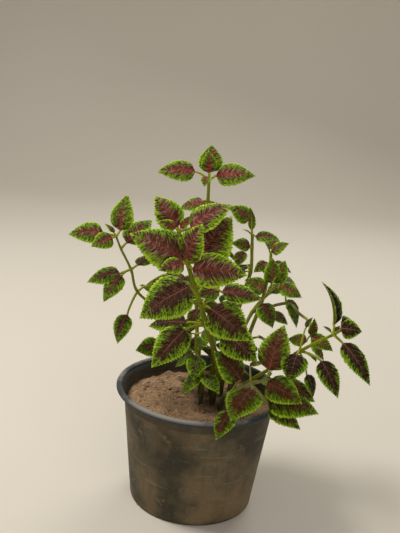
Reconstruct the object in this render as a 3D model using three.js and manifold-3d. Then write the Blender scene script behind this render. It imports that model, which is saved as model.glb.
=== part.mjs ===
// Coleus plant in a round nursery pot. Millimetres, +Z up, the pot stands on z = 0 at the origin.
// The viewer's side is -Y. Directions in the table are degrees: 0 is +X, 90 is +Y, a rise is upwards.
import * as THREE from 'three';
import { mergeVertices } from 'three/addons/utils/BufferGeometryUtils.js';
import Module from 'manifold-3d';

const wasm = await Module();
wasm.setup();
const { Manifold, Mesh } = wasm;

// ---- driving dimensions ----
const POT_HEIGHT = 113;
const RIM_RADIUS = 78;          // outside of the rolled rim
const RIM_BEAD = 2.8;           // radius of the rolled rim's round section
const BODY_TOP_RADIUS = 69.8;   // outside, at the small ledge under the rim
const BODY_FOOT_RADIUS = 58.2;
const LEDGE_HEIGHT = 98;
const WALL = 2;
const FLOOR_UNDERSIDE = 1.5;
const FLOOR_TOP = 3.5;
const FOOT_RING_INSIDE = 52;
const CENTRE_PAD_RADIUS = 22;
const DRAIN_COUNT = 6;
const DRAIN_RADIUS = 4.5;
const DRAIN_CIRCLE = 38;
const DRAIN_SIDES = 8;
const ROUND_SEGMENTS = 32;
const SLIVER = 0.2;             // facets narrower than this are merged after joining
const GAP = 0.35;               // between parts that touch in the real thing
const SOIL_LEVEL = 98.5;
const BLADE_THICKNESS = 0.8;
const BLADE_END = 0.7;          // half the width of a blade at its root and tip
const BLADE_BASE_BREADTH = 0.62;
const BLADE_FULLNESS = 0.64;
const BLADE_TAPER = 0.3;        // how much the fullness drops from root to tip
const BLADE_ARCH = 0.1;         // rise of the midrib above its chord, over the length
const BLADE_CUP = 0.35;         // how far the margins turn down
const TOOTH_DEPTH = 0.14;       // of the half width, notch to crown
const TEETH = [[42, 5], [34, 4], [26, 3], [0, 2]]; // teeth a side from this length on
const STALK_RADIUS = 1.1;       // on a leaf of full size
const SMALL_STALK_RADIUS = 0.9;
const FULL_SIZE = 25;           // length of a blade that counts as full size
const STALK_SUNK = 1.6;         // how far the stalk runs on into the blade
const LONG_STALK = 12;          // stalks from this length on are bowed upwards
const STALK_BOW = 0.08;         // rise of the bow over the stalk's length
const LEAF_WIDTH_RATIO = 0.72;  // width of a blade over its length
const STEM_SIDES = 5;
const STALK_SIDES = 3;
const STEM_STEPS = 2;           // rings between two nodes of a stem
const HOLE_TOP = 118;           // the soil's holes for the stems run up to here

// ---- the plant, shoot by shoot ----
const node = (x, y, z, ...leaves) => ({ at: new THREE.Vector3(x, y, z), leaves });
const leaf = (stalkTurn, stalkRise, stalk, turn, rise, length, bank = 0,
  wide = LEAF_WIDTH_RATIO, fold = 0.25) =>
  ({ stalkTurn, stalkRise, stalk, turn, rise, length, bank, wide, fold });
const stem = (rootRadius, tipRadius, ...nodes) => ({ rootRadius, tipRadius, nodes });
const shoot = (name, ...stems) => ({ name, stems });

const SHOOTS = [
  shoot('front_shoot',
    stem(3.3, 1.6,
      node(12, -4, 76),
      node(13, -8, 108),
      node(15, -27, 143,
        leaf(35, 15, 11, 15, -30, 24)),
      node(0, -55, 192,
        leaf(-25, -5, 17, -25, -30, 37, 45, 0.8),
        leaf(-145, 0, 22, -145, -45, 42, -40, 0.66),
        leaf(165, 0, 18, 170, -15, 34, -30),
        leaf(80, 15, 12, 80, -40, 30)),
      node(-6, -66, 213,
        leaf(-120, 45, 31, -165, -35, 47, -45, 0.82),
        leaf(-55, 10, 13, -20, -30, 41, 45, 0.85),
        leaf(80, 10, 12, 80, -40, 32)),
      node(-13, -77, 233,
        leaf(15, -10, 24, 10, -10, 34, 42, 0.6),
        leaf(135, 10, 10, 170, -15, 36, -30, 0.6)),
      node(-20, -88, 255,
        leaf(-145, 40, 5, 180, 21, 47, -52, 0.74),
        leaf(-60, -15, 9, -5, 0, 43, 56, 0.7),
        leaf(20, 5, 8, 30, 52, 46, 30, 0.9),
        leaf(-98, 35, 9, -20, 70, 32, 75, 0.8),
        leaf(-105, 10, 11, -150, -10, 22, -45, 0.7)),
      node(-29, -90, 280,
        leaf(120, 60, 4, 160, 45, 30, -55, 0.78),
        leaf(40, 10, 12, 20, 30, 38, 30),
        leaf(-115, 35, 7, -160, 20, 15, -65, 0.6),
        leaf(-65, 50, 5, 0, 50, 14, 60, 0.55)))),
  shoot('left_shoot',
    stem(2.5, 1.1,
      node(1, 4, 76),
      node(0, 7, 108),
      node(-2, 10, 123),
      node(-16, 12, 147,
        leaf(150, 0, 9, 160, -35, 24)),
      node(-43, 8, 179,
        leaf(-75, -70, 31, -165, -12, 23, -45, 0.9),
        leaf(75, 20, 12, 75, -40, 26)),
      node(-65, 4, 198,
        leaf(-130, -60, 23, -130, -70, 28, 0, 0.8),
        leaf(60, 15, 12, 60, -40, 28)),
      node(-72, 2, 219,
        leaf(-150, -15, 11, -175, -20, 31, -30),
        leaf(-120, -10, 14, -145, -55, 29, -20),
        leaf(60, 15, 10, 45, 10, 28)),
      node(-82, 0, 238,
        leaf(65, 25, 10, 40, 35, 33, 20, 0.8)),
      node(-87, 0, 249,
        leaf(-170, 14, 12, -175, -7, 31, -45, 0.72),
        leaf(55, 45, 7, 60, 75, 33, 0, 0.8),
        leaf(-105, 5, 9, -150, -20, 21, -45, 0.85),
        leaf(180, 60, 4, 155, 30, 12)))),
  shoot('top_shoot',
    stem(2.7, 1.4,
      node(11, 11, 76),
      node(11, 12, 108),
      node(10, 14, 144,
        leaf(170, 25, 10, 150, -15, 24, -40)),
      node(4, 18, 192,
        leaf(-65, 55, 15, -150, -10, 22, -45, 0.85),
      leaf(-150, -30, 16, -120, -50, 20, 0, 0.8),
        leaf(100, 20, 8, 100, 20, 22)),
      node(-3, 20, 239,
        leaf(150, 0, 10, 160, -40, 30),
        leaf(35, 20, 9, 40, -35, 28)),
      node(-6, 20, 262,
        leaf(-90, 8, 9, -92, -30, 24),
        leaf(85, 10, 9, 85, -30, 26)),
      node(-8, 20, 283,
        leaf(145, -10, 4, 175, -20, 24, -35),
        leaf(25, -10, 5, 25, -20, 22),
        leaf(95, 0, 10, 95, -45, 30)),
      node(-9, 18, 304,
        leaf(-170, 28, 15, -175, -5, 34, -48, 0.68),
        leaf(-30, 38, 9, -5, 5, 35, 50, 0.7),
        leaf(90, 35, 10, 90, 60, 27, 0, 0.85),
        leaf(-105, 65, 8, 180, 85, 20, -80, 0.75),
        leaf(-100, 25, 11, -100, -30, 14)))),
  shoot('back_shoot',
    stem(2.6, 1.3,
      node(20, 12, 76),
      node(21, 14, 108),
      node(24, 22, 142,
        leaf(95, 15, 11, 90, -45, 30)),
      node(32, 30, 191,
        leaf(130, 15, 12, 125, -40, 26)),
      node(38, 34, 218,
        leaf(110, 20, 11, 120, -40, 30),
      leaf(-150, 10, 6, -170, -20, 18, -40)),
      node(37, 36, 241,
        leaf(-120, 30, 5, -170, 5, 18, -50, 0.8),
        leaf(-130, -6, 14, -110, -48, 18)),
      node(36, 36, 254,
        leaf(155, 75, 14, 175, 25, 23, -50, 0.85),
        leaf(-120, 60, 5, 180, 80, 22, 60, 0.4),
        leaf(-135, 25, 3, 180, 20, 8, 0),
        leaf(-35, -20, 4, -10, 0, 22, 30)))),
  shoot('right_shoot',
    stem(2.7, 1.3,
      node(27, 3, 76),
      node(28, 2, 108),
      node(31, -2, 157,
        leaf(60, 10, 10, 50, -40, 28)),
      node(41, -4, 191,
        leaf(-40, 50, 14, -30, -55, 24, 20, 0.95),
        leaf(25, -5, 21, -15, -30, 18, 30)),
      node(54, -6, 212,
        leaf(-35, 40, 13, -15, -20, 22, 35, 0.8),
        leaf(-135, 25, 6, 170, 20, 21, -45, 0.9),
        leaf(70, 45, 9, 105, 70, 24, 0),
        leaf(55, 35, 12, 55, 55, 23, 20),
        leaf(55, 20, 19, 25, -5, 15, 20),
        leaf(-80, 40, 5, 0, 75, 14, 0))),
    stem(1.6, 1.4,
      node(41, -4, 191),
      node(71, 0, 201,
        leaf(0, 65, 4.5, -35, -65, 27, 0, 0.72),
        leaf(100, 50, 8, 80, 30, 24)),
      node(81, -15, 198),
      node(90, -30, 195),
      node(91, -45, 188,
        leaf(-115, 30, 4, 60, 75, 15, 40, 0.6, 0.7),
        leaf(-100, 20, 5, -20, -25, 22, 50, 0.62),
        leaf(-85, -60, 6, -10, -50, 19, 20),
        leaf(90, -30, 29, 145, -10, 19, -45)))),
  shoot('far_shoot',
    stem(2.5, 1.3,
      node(31, 13, 76),
      node(33, 16, 108),
      node(42, 32, 151,
        leaf(20, 10, 12, 20, -45, 30),
        leaf(110, 10, 12, 105, -45, 32)),
      node(53, 45, 188,
        leaf(45, 25, 12, 40, 15, 28),
        leaf(140, 15, 12, 140, -40, 30)),
      node(57, 52, 218,
        leaf(-145, 60, 7, -170, -40, 16, -30, 0.9),
        leaf(25, 50, 8, 5, -30, 20, 20),
        leaf(95, 20, 10, 90, -40, 30)),
      node(57, 54, 232,
        leaf(-75, 50, 3, -10, 35, 19, 35, 0.85),
        leaf(-125, 45, 3, -165, 55, 14, -20),
        leaf(80, 40, 6, 80, 30, 20)))),
  shoot('trailing_shoot',
    stem(2.5, 1.1,
      node(28, -10, 76),
      node(31, -14, 108),
      node(41, -30, 132,
        leaf(0, 20, 12, -5, -10, 28)),
      node(60, -50, 158),
      node(79, -68, 182,
        leaf(-35, -5, 21, -45, -50, 33, 30, 0.55),
        leaf(-105, 10, 13, -110, -50, 25, 0, 0.92),
        leaf(75, -20, 20, 35, -35, 22),
        leaf(-15, -65, 21, -40, -65, 20, 0, 0.8),
        leaf(65, 65, 21, 25, 55, 10)),
      node(92, -78, 196),
      node(102, -86, 206,
        leaf(95, 75, 8, 135, 60, 36, 20, 0.54, 0.8),
        leaf(-55, -15, 12, -35, -45, 39, 30, 0.48)),
      node(107, -90, 212,
        leaf(100, 70, 6.5, 30, -25, 20, 35, 0.8),
        leaf(-110, 35, 5, 0, -5, 17, 60, 0.98)))),
  shoot('low_shoot',
    stem(2.5, 1.3,
      node(19, -14, 76),
      node(21, -18, 108),
      node(28, -40, 127,
        leaf(-90, -5, 32, -130, -50, 28, 0, 0.75),
        leaf(-70, 50, 25, 165, 40, 34, -30, 0.85)),
      node(42, -62, 146,
        leaf(-90, 10, 18, -125, -35, 34, 0, 0.98),
        leaf(-25, -40, 25, -20, -25, 32, 20),
        leaf(100, 55, 16, 15, 10, 14)),
      node(53, -75, 157,
        leaf(-75, -5, 5, -30, -15, 34, 45, 0.75),
        leaf(-15, -75, 18, -15, -5, 43, 30),
        leaf(15, -15, 18, -5, -25, 30, 30)),
      node(55, -78, 164,
        leaf(90, 40, 3, 55, 65, 40, 10),
        leaf(-125, -55, 4, -25, 60, 10)))),
  shoot('inner_shoot',
    stem(2.2, 1.2,
      node(2, -7, 76),
      node(2, -8, 108),
      node(2, -9, 130,
        leaf(-120, 10, 7, -140, -45, 25),
        leaf(-105, 10, 17, -25, 50, 19, 0, 0.45),
        leaf(-88, 15, 17, -48, -24, 24, 12, 0.68)),
      node(-6, -11, 150,
        leaf(130, -20, 6, 155, -50, 25, -30, 0.8),
        leaf(-80, -10, 7, -98, -58, 22, 0, 0.85),
        leaf(75, 30, 6, 45, 25, 16)),
      node(-8, -10, 167,
        leaf(-150, 20, 5, -170, -25, 20, -45, 0.85),
        leaf(-20, 30, 6, -20, -10, 20, 40, 0.8)))),
  shoot('rear_shoot',
    stem(2.5, 1.3,
      node(2, 15, 76),
      node(1, 18, 108),
      node(-4, 36, 132,
        leaf(170, 10, 10, 170, -40, 28),
        leaf(60, 15, 10, 60, -45, 28)),
      node(-8, 50, 154,
        leaf(100, 10, 12, 100, -45, 34),
        leaf(-20, 35, 8, -10, 15, 26)),
      node(-10, 58, 172,
        leaf(170, 30, 10, 170, -35, 32),
        leaf(20, 30, 10, 20, -35, 32)),
      node(-13, 64, 195,
        leaf(100, 10, 11, 100, -40, 32),
        leaf(-90, 10, 8, -100, -40, 24, 0, 0.8),
        leaf(-30, 0, 12, -40, -25, 20, 30, 0.85)),
      node(-15, 67, 213,
        leaf(180, 20, 9, 180, -20, 28, -20),
        leaf(0, 20, 9, 0, -20, 28, 20),
        leaf(90, 35, 7, 90, 10, 22)))),
];

// ---- solids ----
function manifoldFromLists(positions, triangles) {
  const mesh = new Mesh({
    numProp: 3,
    vertProperties: new Float32Array(positions),
    triVerts: new Uint32Array(triangles),
  });
  return new Manifold(mesh);
}

function geometryFromManifold(solid) {
  const mesh = solid.getMesh();
  const geometry = new THREE.BufferGeometry();
  geometry.setAttribute('position', new THREE.BufferAttribute(new Float32Array(mesh.vertProperties), 3));
  geometry.setIndex(new THREE.BufferAttribute(new Uint32Array(mesh.triVerts), 1));
  geometry.computeVertexNormals();
  return geometry;
}

const radians = (degrees) => degrees * Math.PI / 180;

function direction(turn, rise) {
  const level = Math.cos(radians(rise));
  return new THREE.Vector3(
    level * Math.cos(radians(turn)),
    level * Math.sin(radians(turn)),
    Math.sin(radians(rise)),
  );
}

function join(solids) {
  return solids.reduce((whole, next) => whole.add(next)).asOriginal().simplify(SLIVER);
}

// A round rod with closed ends along a line of points.
function rod(points, radii, sides) {
  const positions = [];
  const triangles = [];
  let across = new THREE.Vector3(0, 0, 1);
  points.forEach((point, i) => {
    const before = points[Math.max(i - 1, 0)];
    const after = points[Math.min(i + 1, points.length - 1)];
    const along = after.clone().sub(before).normalize();
    if (i === 0 && Math.abs(along.z) > 0.7) across = new THREE.Vector3(1, 0, 0);
    across = across.sub(along.clone().multiplyScalar(across.dot(along))).normalize();
    const third = along.clone().cross(across);
    for (let k = 0; k < sides; k += 1) {
      const angle = 2 * Math.PI * k / sides;
      const spot = point.clone()
        .addScaledVector(across, radii[i] * Math.cos(angle))
        .addScaledVector(third, radii[i] * Math.sin(angle));
      positions.push(spot.x, spot.y, spot.z);
    }
  });
  for (let i = 0; i < points.length - 1; i += 1) {
    for (let k = 0; k < sides; k += 1) {
      const a = i * sides + k;
      const b = i * sides + (k + 1) % sides;
      triangles.push(a, b, b + sides, a, b + sides, a + sides);
    }
  }
  const last = (points.length - 1) * sides;
  for (let k = 1; k < sides - 1; k += 1) {
    triangles.push(0, k + 1, k);
    triangles.push(last, last + k, last + k + 1);
  }
  return manifoldFromLists(positions, triangles);
}

// A smooth line through the nodes of a stem.
function stemLine(places, steps) {
  const points = [];
  for (let i = 0; i < places.length - 1; i += 1) {
    const before = places[Math.max(i - 1, 0)];
    const after = places[Math.min(i + 2, places.length - 1)];
    for (let k = 0; k < steps; k += 1) {
      const u = k / steps;
      const point = new THREE.Vector3();
      for (const axis of ['x', 'y', 'z']) {
        const [a, b, c, d] = [before[axis], places[i][axis], places[i + 1][axis], after[axis]];
        point[axis] = 0.5 * (2 * b + (c - a) * u + (2 * a - 5 * b + 4 * c - d) * u * u
          + (3 * b - a - 3 * c + d) * u * u * u);
      }
      points.push(point);
    }
  }
  points.push(places[places.length - 1].clone());
  return points;
}

function stemSolid({ rootRadius, tipRadius, nodes }) {
  const points = stemLine(nodes.map((each) => each.at), STEM_STEPS);
  const last = points.length - 1;
  const radii = points.map((point, i) => THREE.MathUtils.lerp(rootRadius, tipRadius, i / last));
  return rod(points, radii, STEM_SIDES);
}

// The place, directions and size of a blade, worked out from its row in the table.
function bladeFrame(from, row) {
  const start = from.clone().addScaledVector(direction(row.stalkTurn, row.stalkRise), row.stalk);
  const along = direction(row.turn, row.rise);
  const levelSide = new THREE.Vector3(-Math.sin(radians(row.turn)), Math.cos(radians(row.turn)), 0);
  const levelUp = along.clone().cross(levelSide);
  const cos = Math.cos(radians(row.bank));
  const sin = Math.sin(radians(row.bank));
  const side = levelSide.clone().multiplyScalar(cos).addScaledVector(levelUp, sin);
  const up = levelUp.clone().multiplyScalar(cos).addScaledVector(levelSide, -sin);
  return { start, along, side, up };
}

// Half the width of a blade at a share t of its length: widest at a third, pointed at the tip.
function halfWidth(row, t) {
  const swell = Math.sin(Math.PI * t ** BLADE_BASE_BREADTH);
  return 0.5 * row.wide * row.length * swell ** (BLADE_FULLNESS + BLADE_TAPER * t);
}

function bladeSolid(from, row) {
  const { start, along, side, up } = bladeFrame(from, row);
  const teeth = TEETH.find(([length]) => row.length >= length)[1];
  const rows = 2 * teeth;
  const positions = [];
  const triangles = [];
  for (let i = 0; i <= rows; i += 1) {
    const t = i / rows;
    const crown = i % 2 === 1;
    const half = i === 0 || i === rows ? BLADE_END : halfWidth(row, t) * (crown ? 1 : 1 - TOOTH_DEPTH);
    const middle = start.clone()
      .addScaledVector(along, row.length * t)
      .addScaledVector(up, 4 * BLADE_ARCH * row.length * t * (1 - t));
    for (const face of [0.5, -0.5]) {
      for (const across of [1, 0, -1]) {
        const lift = Math.abs(across) * half * (row.fold - BLADE_CUP);
        const spot = middle.clone()
          .addScaledVector(side, across * half)
          .addScaledVector(up, lift + face * BLADE_THICKNESS);
        positions.push(spot.x, spot.y, spot.z);
      }
    }
  }
  const quad = (a, b, c, d) => triangles.push(a, b, c, a, c, d);
  for (let i = 0; i < rows; i += 1) {
    const here = 6 * i;
    const next = here + 6;
    quad(here + 1, next + 1, next, here);
    quad(here + 2, next + 2, next + 1, here + 1);
    triangles.push(here + 4, next + 3, next + 4, here + 4, here + 3, next + 3);
    triangles.push(here + 5, next + 4, next + 5, here + 5, here + 4, next + 4);
    quad(here, next, next + 3, here + 3);
    quad(here + 2, here + 5, next + 5, next + 2);
  }
  const tip = 6 * rows;
  quad(2, 1, 4, 5);
  quad(1, 0, 3, 4);
  quad(tip, tip + 1, tip + 4, tip + 3);
  quad(tip + 1, tip + 2, tip + 5, tip + 4);
  return manifoldFromLists(positions, triangles);
}

// The stalk starts at the heart of the stem and runs on into the root of the blade.
function stalkSolid(from, row) {
  const { start, along } = bladeFrame(from, row);
  const end = start.clone().addScaledVector(along, STALK_SUNK);
  const thick = row.length >= FULL_SIZE ? STALK_RADIUS : SMALL_STALK_RADIUS;
  const line = [from.clone(), start, end];
  const radii = [thick * 1.15, thick, thick * 0.9];
  if (row.stalk > LONG_STALK) {
    const bow = from.clone().lerp(start, 0.5);
    bow.z += STALK_BOW * row.stalk;
    line.splice(1, 0, bow);
    radii.splice(1, 0, thick);
  }
  return rod(line, radii, STALK_SIDES);
}

function shootSolid({ stems }) {
  const solids = [];
  for (const branch of stems) {
    solids.push(stemSolid(branch));
    for (const { at, leaves } of branch.nodes) {
      for (const row of leaves) solids.push(stalkSolid(at, row), bladeSolid(at, row));
    }
  }
  return join(solids);
}

function lathe(profile) {
  const geometry = new THREE.LatheGeometry(profile.map(([r, z]) => new THREE.Vector2(r, z)), ROUND_SEGMENTS);
  geometry.rotateX(Math.PI / 2);
  return geometry;
}

function manifoldFromGeometry(geometry) {
  const plain = geometry.clone();
  plain.deleteAttribute('normal');
  plain.deleteAttribute('uv');
  const merged = mergeVertices(plain, 1e-3);
  const corners = merged.getIndex().array;
  const triangles = [];
  for (let i = 0; i < corners.length; i += 3) {
    const [a, b, c] = corners.slice(i, i + 3);
    if (a !== b && b !== c && c !== a) triangles.push(a, b, c);
  }
  return manifoldFromLists(merged.getAttribute('position').array, triangles);
}

const bodyRadius = (z) => THREE.MathUtils.lerp(BODY_FOOT_RADIUS, BODY_TOP_RADIUS, z / LEDGE_HEIGHT);
const insideRadius = (z) => bodyRadius(z) - WALL;

function potProfile() {
  const beadCentre = [RIM_RADIUS - RIM_BEAD, POT_HEIGHT - RIM_BEAD];
  const bead = [-100, -50, 0, 50, 90, 130, 170].map((degrees) => [
    beadCentre[0] + RIM_BEAD * Math.cos(radians(degrees)),
    beadCentre[1] + RIM_BEAD * Math.sin(radians(degrees)),
  ]);
  return [
    [0, 0],
    [CENTRE_PAD_RADIUS, 0],
    [CENTRE_PAD_RADIUS + 1, FLOOR_UNDERSIDE],
    [FOOT_RING_INSIDE, FLOOR_UNDERSIDE],
    [FOOT_RING_INSIDE + 1, 0],
    [BODY_FOOT_RADIUS - 1, 0],
    [BODY_FOOT_RADIUS, 1.2],
    [BODY_TOP_RADIUS, LEDGE_HEIGHT],
    [BODY_TOP_RADIUS + 1, LEDGE_HEIGHT + 1],
    [BODY_TOP_RADIUS + 1.6, POT_HEIGHT - 7.5],
    [BODY_TOP_RADIUS + 3.4, POT_HEIGHT - 5.8],
    ...bead,
    [BODY_TOP_RADIUS + 1.2, POT_HEIGHT - 4.6],
    [BODY_TOP_RADIUS - 0.8, LEDGE_HEIGHT + 2],
    [insideRadius(LEDGE_HEIGHT - 2), LEDGE_HEIGHT - 2],
    [insideRadius(FLOOR_TOP + 2), FLOOR_TOP + 2],
    [insideRadius(FLOOR_TOP) - 2, FLOOR_TOP],
    [0, FLOOR_TOP],
  ];
}

function potSolid() {
  let pot = manifoldFromGeometry(lathe(potProfile()));
  for (let i = 0; i < DRAIN_COUNT; i += 1) {
    const turn = radians(30 + 360 * i / DRAIN_COUNT);
    const drill = new THREE.CylinderGeometry(DRAIN_RADIUS, DRAIN_RADIUS, 3 * FLOOR_TOP, DRAIN_SIDES);
    drill.rotateX(Math.PI / 2);
    drill.translate(DRAIN_CIRCLE * Math.cos(turn), DRAIN_CIRCLE * Math.sin(turn), 0);
    pot = pot.subtract(manifoldFromGeometry(drill));
  }
  return pot;
}

// Gentle humps of the potting soil.
function soilHump(x, y) {
  return 0.9 * Math.sin(0.11 * x + 0.7) * Math.cos(0.09 * y - 0.4) + 0.6 * Math.sin(0.21 * y + 0.13 * x);
}

function soilSolid() {
  const top = [58, 40, 20].map((r) => [r, SOIL_LEVEL]);
  const edge = insideRadius(LEDGE_HEIGHT - 2) - GAP;
  const geometry = lathe([
    [0, FLOOR_TOP + GAP],
    [insideRadius(FLOOR_TOP) - 2 - GAP, FLOOR_TOP + GAP],
    [insideRadius(FLOOR_TOP + 2) - GAP, FLOOR_TOP + 2 + GAP],
    [edge, LEDGE_HEIGHT - 2],
    ...top,
    [0, SOIL_LEVEL],
  ]);
  const position = geometry.getAttribute('position');
  for (let i = 0; i < position.count; i += 1) {
    if (position.getZ(i) > LEDGE_HEIGHT) {
      position.setZ(i, SOIL_LEVEL + soilHump(position.getX(i), position.getY(i)));
    }
  }
  let soil = manifoldFromGeometry(geometry);
  for (const { stems } of SHOOTS) {
    const { rootRadius, nodes } = stems[0];
    const foot = nodes[0].at.clone();
    const way = nodes[1].at.clone().sub(foot).normalize();
    const hole = [foot.clone().addScaledVector(way, -GAP)];
    for (const point of stemLine(nodes.map((each) => each.at), STEM_STEPS)) {
      if (point.z > foot.z && point.z <= HOLE_TOP) hole.push(point);
    }
    soil = soil.subtract(rod(hole, hole.map(() => rootRadius + GAP), STEM_SIDES));
  }
  return soil;
}

// ---- the part ----
const part = new THREE.Group();
part.name = 'coleus_in_nursery_pot';

function addPiece(name, solid, colour, roughness) {
  const material = new THREE.MeshStandardMaterial({ color: colour, roughness, metalness: 0 });
  const mesh = new THREE.Mesh(geometryFromManifold(solid), material);
  mesh.name = name;
  part.add(mesh);
}

addPiece('pot', potSolid(), 0x4a463f, 0.7);
addPiece('soil', soilSolid(), 0x7a5f45, 0.95);
for (const each of SHOOTS) addPiece(each.name, shootSolid(each), 0x5f7a24, 0.55);

export default part;
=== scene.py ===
"""Coleus in a round nursery pot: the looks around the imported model.

The plant's table and the pot's sizes are in millimetres, and every vertex is turned into metres.
Directions are degrees: 0 is +X, 90 is +Y (away from the viewer), and a rise is upwards.
Materials take places from the object's own coordinates, in metres, and from what vertices carry.
"""
import math
import random
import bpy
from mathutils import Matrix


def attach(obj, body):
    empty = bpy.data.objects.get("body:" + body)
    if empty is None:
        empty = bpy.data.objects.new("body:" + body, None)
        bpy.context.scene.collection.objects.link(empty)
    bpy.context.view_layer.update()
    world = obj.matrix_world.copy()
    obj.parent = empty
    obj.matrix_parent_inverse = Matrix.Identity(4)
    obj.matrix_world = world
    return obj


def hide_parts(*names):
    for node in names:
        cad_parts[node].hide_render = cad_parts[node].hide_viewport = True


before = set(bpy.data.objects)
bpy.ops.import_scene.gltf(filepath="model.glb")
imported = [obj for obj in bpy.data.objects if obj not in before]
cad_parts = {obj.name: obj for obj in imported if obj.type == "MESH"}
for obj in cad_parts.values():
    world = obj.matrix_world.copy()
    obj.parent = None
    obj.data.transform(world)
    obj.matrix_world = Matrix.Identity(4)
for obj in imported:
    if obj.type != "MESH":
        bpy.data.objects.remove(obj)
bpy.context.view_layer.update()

from types import SimpleNamespace

import bmesh
import bpy
import numpy as np
from mathutils import Matrix, Quaternion, Vector, noise

MM = 0.001

# ---- sizes that the solids have too ----
POT_HEIGHT = 113
RIM_RADIUS = 78
RIM_BEAD = 2.8
BODY_TOP_RADIUS = 69.8
BODY_FOOT_RADIUS = 58.2
LEDGE_HEIGHT = 98
WALL = 2
FLOOR_UNDERSIDE = 1.5
FLOOR_TOP = 3.5
FOOT_RING_INSIDE = 52
CENTRE_PAD_RADIUS = 22
DRAIN_COUNT = 6
DRAIN_RADIUS = 4.5
DRAIN_CIRCLE = 38
FIRST_DRAIN_TURN = 30
GAP = 0.35
SOIL_LEVEL = 98.5
LEAF_WIDTH_RATIO = 0.72
BLADE_BASE_BREADTH = 0.62
BLADE_FULLNESS = 0.64
BLADE_TAPER = 0.3
BLADE_ARCH = 0.1
BLADE_CUP = 0.35
FULL_SIZE = 25             # length of a leaf that counts as full size
LONG_STALK = 12            # stalks longer than this are bowed upwards
STALK_BOW = 0.08           # rise of the bow over the stalk's length

# ---- sizes of the fine pieces ----
BLADE_HALF_THICKNESS = 0.18
BLADE_EDGE_THINNING = 0.6  # how much of the thickness the blade loses towards its edge
BLADE_COLUMNS = 15
COLUMN_CROWDING = 0.85     # below 1 the columns stand closer towards the edge
TOOTH_ROWS = 5             # rows of vertices along one tooth
TOOTH_DEPTH = 0.35         # of the teeth's spacing
TOOTH_DEPTH_LIMIT = 0.4    # of the half width
TOOTH_LEAN = 0.25          # how far a crown leans to the tip, over the teeth's spacing
BLADE_ROOT = 0.82          # half width at the root, at least
BLADE_TIP = 0.12
VEIN_SWEEP = 0.3           # how far the side veins lean to the tip, over the length
VEIN_SLANT = 0.75          # distance across the side veins, over that along the midrib
QUILT_HEIGHT = 0.018       # of the length, between the side veins
RUFFLE_HEIGHT = 0.012      # of the length, along the edge
STALK_RADIUS = 1.0
SMALL_STALK_RADIUS = 0.75
TINY_STALK_SHARE = 0.09    # of the leaf's length, where that is thinner still
STALK_FOOT = 1.25          # radius at the stem, of the stalk's
STALK_END = 0.9            # radius at the blade, of the stalk's
MIDRIB_REACH = 0.9         # of the blade's length
MIDRIB_END_RADIUS = 0.14
STEM_SIDES = 16
STALK_SIDES = 8
STEM_STEPS = 10
STALK_STEPS = 7
MIDRIB_STEPS = 8
STEM_RIBS = 0.09           # height of the four ribs, of the stem's radius
NODE_SWELL = 0.2
NODE_SWELL_REACH = 3
HAIR_SPACING = 0.35        # along a stem
HAIR_RADIUS = 0.07
HAIR_LENGTHS = (0.3, 0.9)  # outside the stem
HAIR_ROOT = 0.7            # how far out hairs are rooted, of the stem's radius
AXIL_LEAF_FROM = 36        # leaves from this length have small leaves in their axils
LATHE_SEGMENTS = 144
BEAD_STEPS = 18
SOIL_SEGMENTS = 180
SOIL_RINGS = 62
SOIL_WAIST = 60            # height of the ring between the soil's top and bottom
CRUMB_COUNT = 420
CRUMB_SPREAD = 64
SHARP_EDGE_ANGLE = 50

# ---- light, painted soil shade and camera, in metres and degrees; the lens in millimetres ----
LIGHT_TARGET = (0, 0, 0.18)
CROWN_PLACE = (0.014, 0.002)   # middle of the painted shade on the soil round the stems
CAMERA_PLACE = (-0.010, -0.693, 0.424)
CAMERA_PITCH = 15.77
CAMERA_ROLL = 5.19
LENS = 54.03
SENSOR_WIDTH = 36


# ---- the plant, shoot by shoot ----
def node(x, y, z, *leaves):
    return SimpleNamespace(at=Vector((x, y, z)), leaves=leaves)


def leaf(stalk_turn, stalk_rise, stalk, turn, rise, length, bank=0,
         wide=LEAF_WIDTH_RATIO, fold=0.25):
    return SimpleNamespace(stalk_turn=stalk_turn, stalk_rise=stalk_rise, stalk=stalk, turn=turn,
                           rise=rise, length=length, bank=bank, wide=wide, fold=fold)


def stem(root_radius, tip_radius, *nodes):
    return SimpleNamespace(root_radius=root_radius, tip_radius=tip_radius, nodes=nodes)


def look(green, lime, pink, red, woody=0, slim=0.88):
    """How a shoot is dressed: width of the leaves' green margin, its yellowness, pink of the
    midrib, redness of the middle and greyness of the stem, each from 0 to 1, and the stem's
    thickness as a share of the solid's."""
    return SimpleNamespace(green=green, lime=lime, pink=pink, red=red, woody=woody, slim=slim)


def shoot(name, dress, *stems):
    return SimpleNamespace(name=name, dress=dress, stems=stems)


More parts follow.
